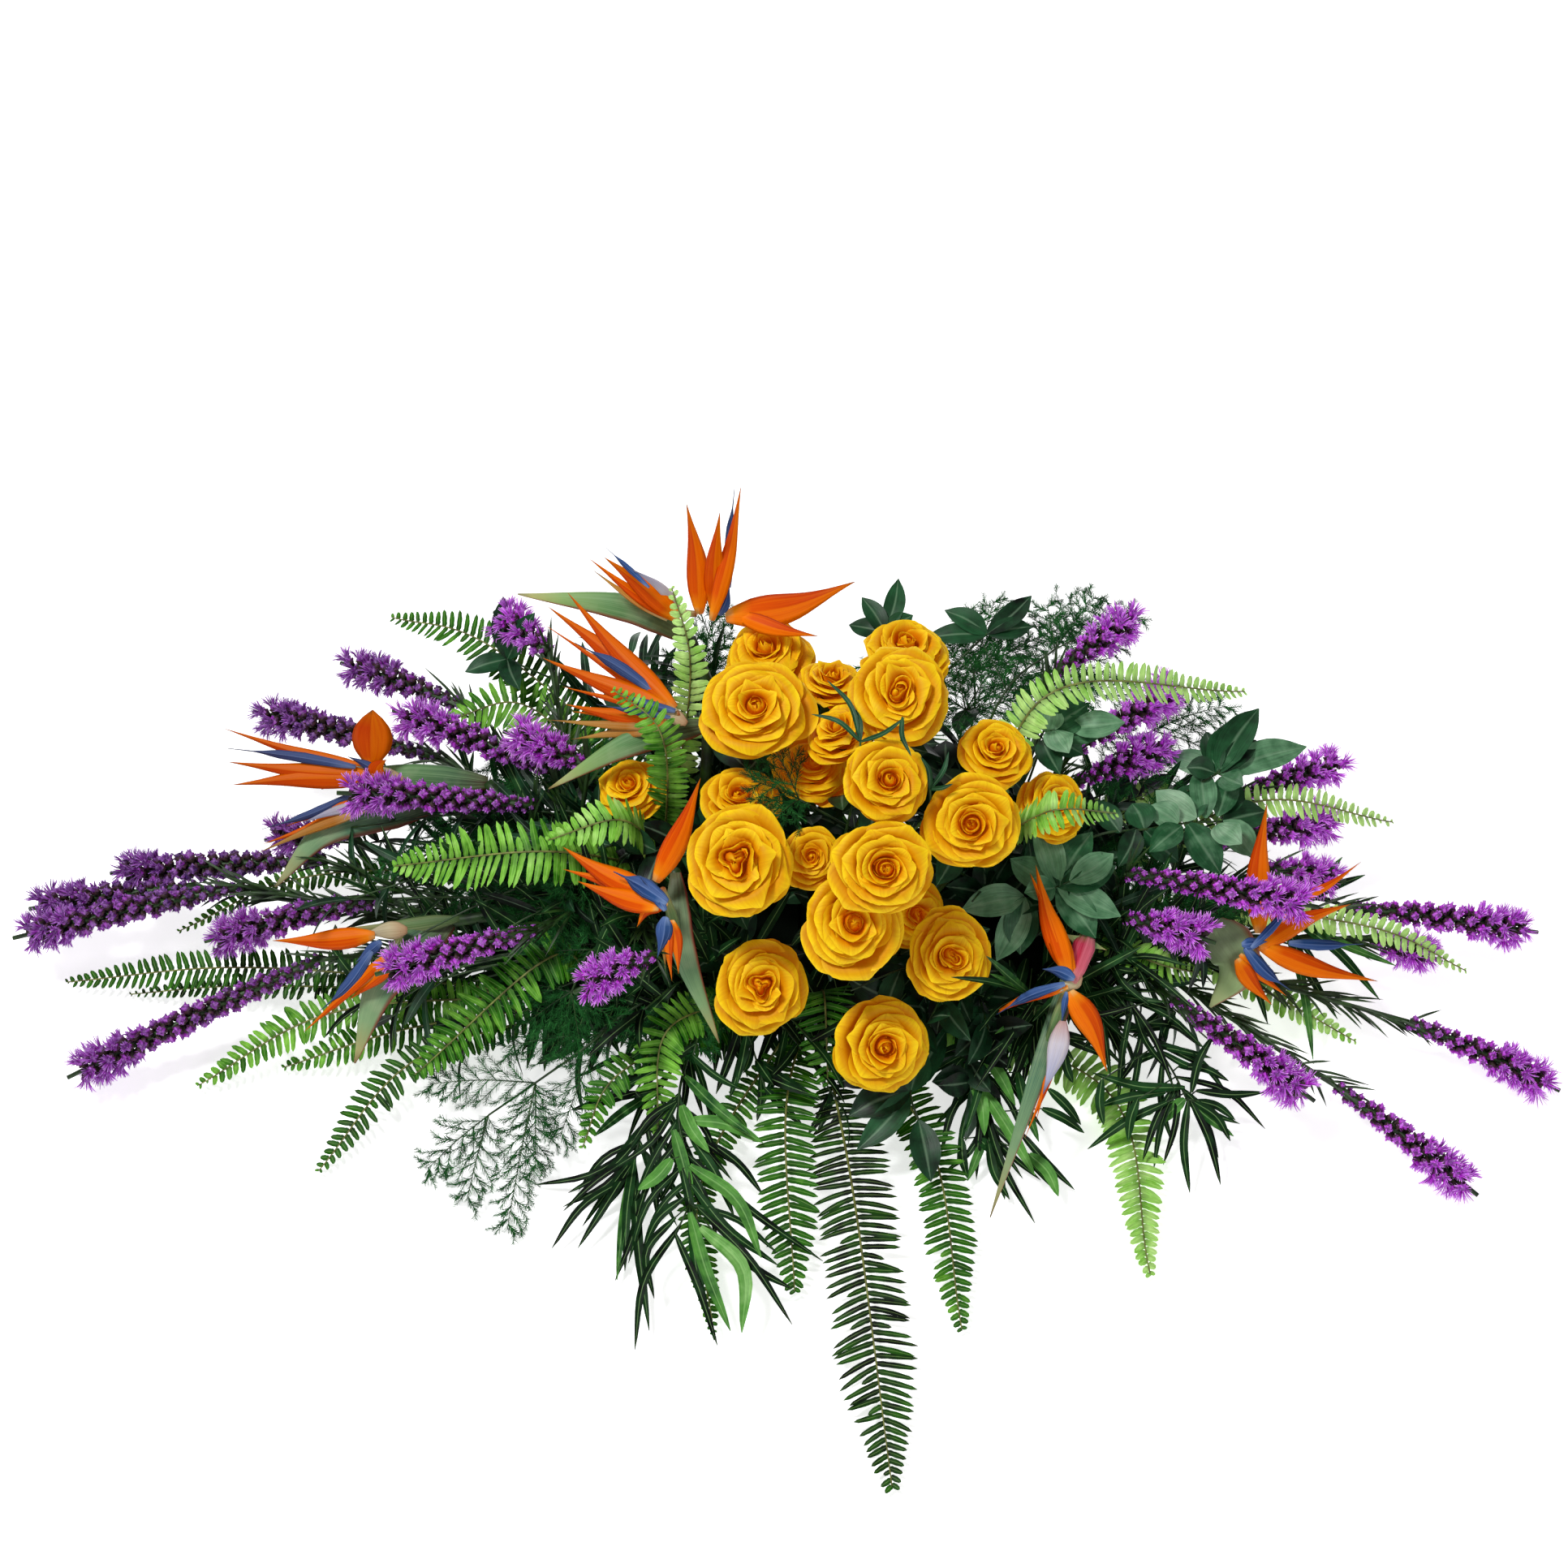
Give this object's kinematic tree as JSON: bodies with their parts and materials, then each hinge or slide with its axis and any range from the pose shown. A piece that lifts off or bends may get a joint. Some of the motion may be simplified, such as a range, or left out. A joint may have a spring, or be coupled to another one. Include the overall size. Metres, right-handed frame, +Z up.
{
  "type": "casket spray",
  "caption": "Low, wide casket spray of yellow roses, orange birds of paradise and purple liatris fanning over fern, ruscus, podocarpus and plumosa from a foam tray.",
  "frame": {"origin": "centre of the flat underside of the tray, on the surface that the spray stands on", "axes": "+X along the spray's length, +Y towards its back, away from the viewer, +Z up"},
  "size_m": [1.4005, 0.8702, 0.4621],
  "materials": {
    "rose_petal": "soft satin yellow petals, deeper orange in the folds",
    "rose_stem": "green stem and calyx",
    "bird_sepal": "smooth waxy orange sepals with steel blue tongues",
    "bird_spathe": "waxy grey-green beak with a red edge",
    "liatris": "purple florets on dark green bracts",
    "fern_leaf": "bright to dark green leaflets",
    "ruscus_leaf": "glossy dark green leaves",
    "podocarpus_leaf": "dark green narrow leaves with a pale midrib",
    "plumosa": "fine feathery green needles",
    "foam": "dull dark green wet foam",
    "tray_plastic": "dark green moulded plastic"
  },
  "bodies": {
    "root": {"rose_01": "rose_petal", "rose_02": "rose_petal", "rose_03": "rose_petal", "rose_04": "rose_petal", "rose_05": "rose_petal", "rose_06": "rose_petal", "rose_07": "rose_petal", "rose_08": "rose_petal", "rose_09": "rose_petal", "rose_10": "rose_petal", "rose_11": "rose_petal", "rose_12": "rose_petal", "rose_13": "rose_petal", "rose_14": "rose_petal", "rose_15": "rose_petal", "rose_16": "rose_petal", "rose_17": "rose_petal", "rose_18": "rose_petal", "rose_19": "rose_petal", "rose_20": "rose_petal", "rose_21": "rose_petal", "bird_top_spathe": "bird_spathe", "bird_top_flower": "bird_sepal", "bird_upper_left_spathe": "bird_spathe", "bird_upper_left_flower": "bird_sepal", "bird_left_spathe": "bird_spathe", "bird_left_flower": "bird_sepal", "bird_left_low_spathe": "bird_spathe", "bird_left_low_flower": "bird_sepal", "bird_left_front_spathe": "bird_spathe", "bird_left_front_flower": "bird_sepal", "bird_centre_spathe": "bird_spathe", "bird_centre_flower": "bird_sepal", "bird_front_right_spathe": "bird_spathe", "bird_front_right_flower": "bird_sepal", "bird_right_spathe": "bird_spathe", "bird_right_flower": "bird_sepal", "rose_stems_left": "rose_stem", "rose_stems_centre": "rose_stem", "rose_stems_right": "rose_stem", "liatris_left_back": "liatris", "liatris_left_front": "liatris", "liatris_front": "liatris", "liatris_right_back": "liatris", "liatris_right_front": "liatris", "fern_back": "fern_leaf", "fern_left_high": "fern_leaf", "fern_left_low": "fern_leaf", "fern_front": "fern_leaf", "fern_right_high": "fern_leaf", "fern_right_low": "fern_leaf", "ruscus_back": "ruscus_leaf", "ruscus_right": "ruscus_leaf", "ruscus_front": "ruscus_leaf", "podocarpus_left": "podocarpus_leaf", "podocarpus_right": "podocarpus_leaf", "plumosa_left": "plumosa", "plumosa_right": "plumosa", "foam_block": "foam", "holder_tray": "tray_plastic"}
  },
  "joints": []
}
